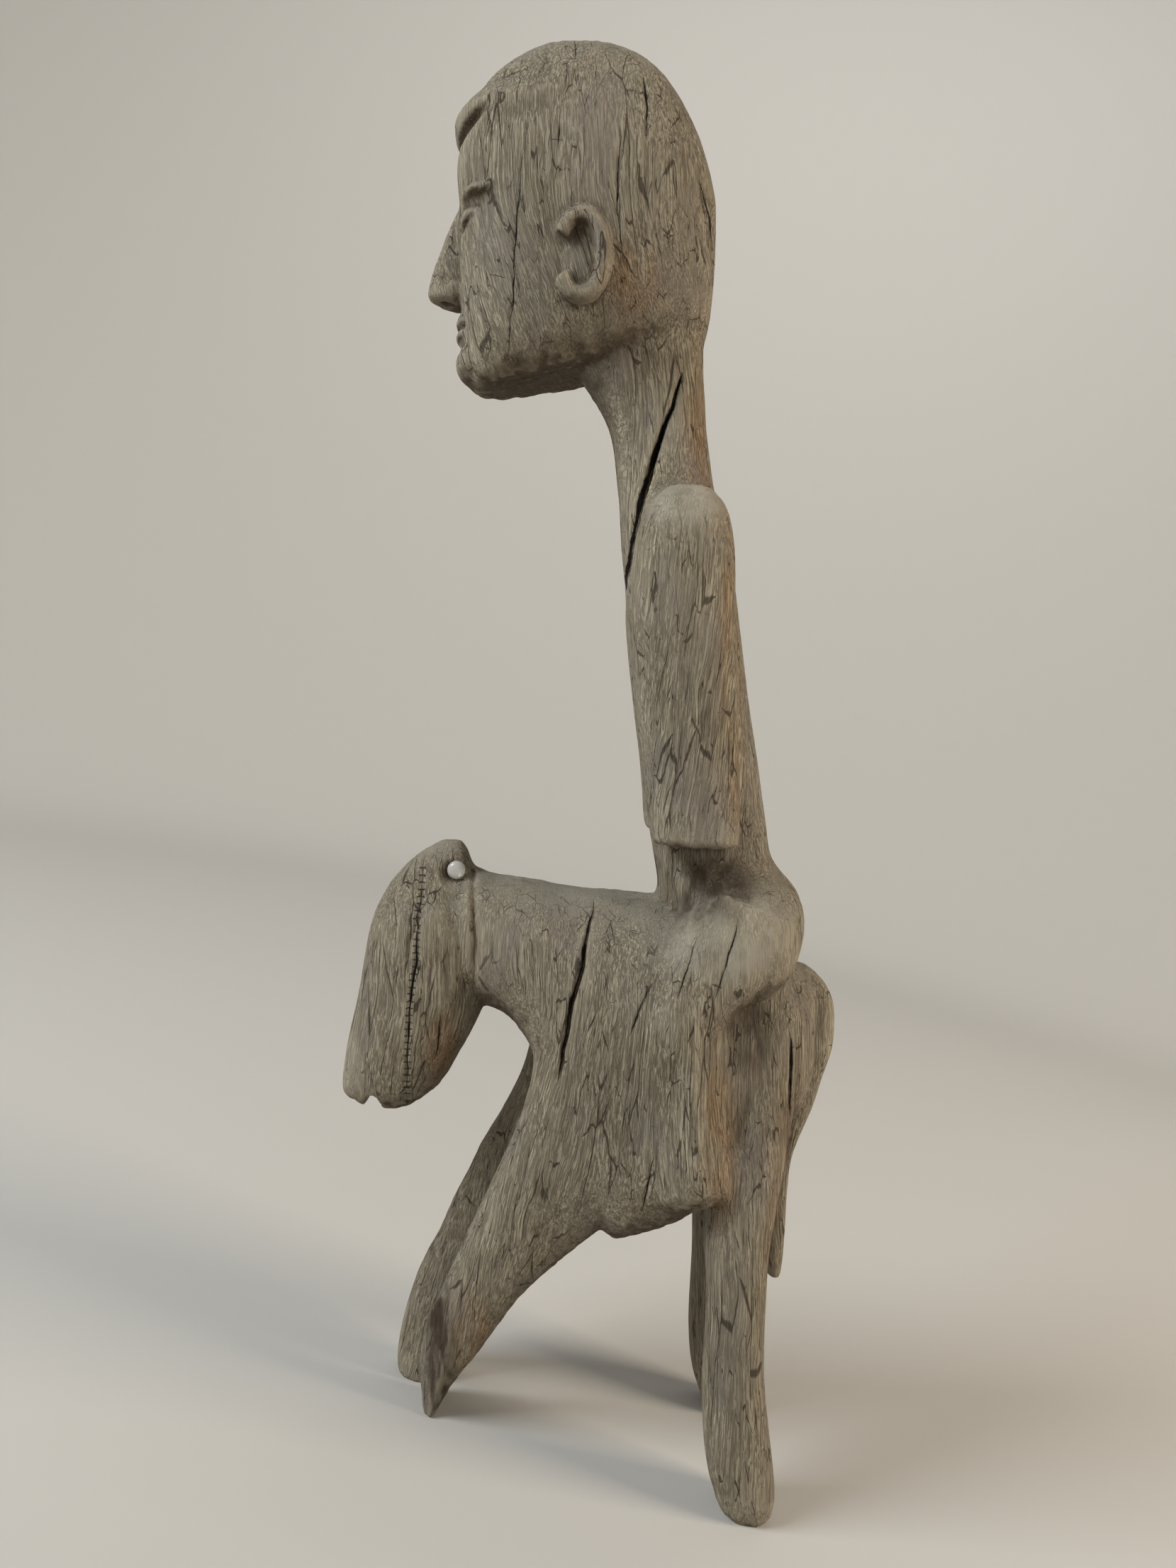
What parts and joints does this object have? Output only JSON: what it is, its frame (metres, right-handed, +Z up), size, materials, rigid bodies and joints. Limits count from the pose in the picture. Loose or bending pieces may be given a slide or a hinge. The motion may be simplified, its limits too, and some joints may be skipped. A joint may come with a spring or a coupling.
{
  "type": "dogon equestrian figure",
  "caption": "Weathered wooden figure of a rider on a horse, carved as one, that stands on its four worn feet as an ornament.",
  "frame": {"origin": "on the floor under the middle of the figure's box", "axes": "+Z up; the horse and the rider face -Y; +X is their left side"},
  "size_m": [0.1314, 0.2903, 0.6816],
  "materials": {
    "wood": "bare wood, weathered grey, rough, with open grain",
    "clear_drop": "clear, smooth"
  },
  "bodies": {
    "root": {"horse_and_rider": "wood", "clear_drop": "clear_drop"}
  },
  "joints": []
}
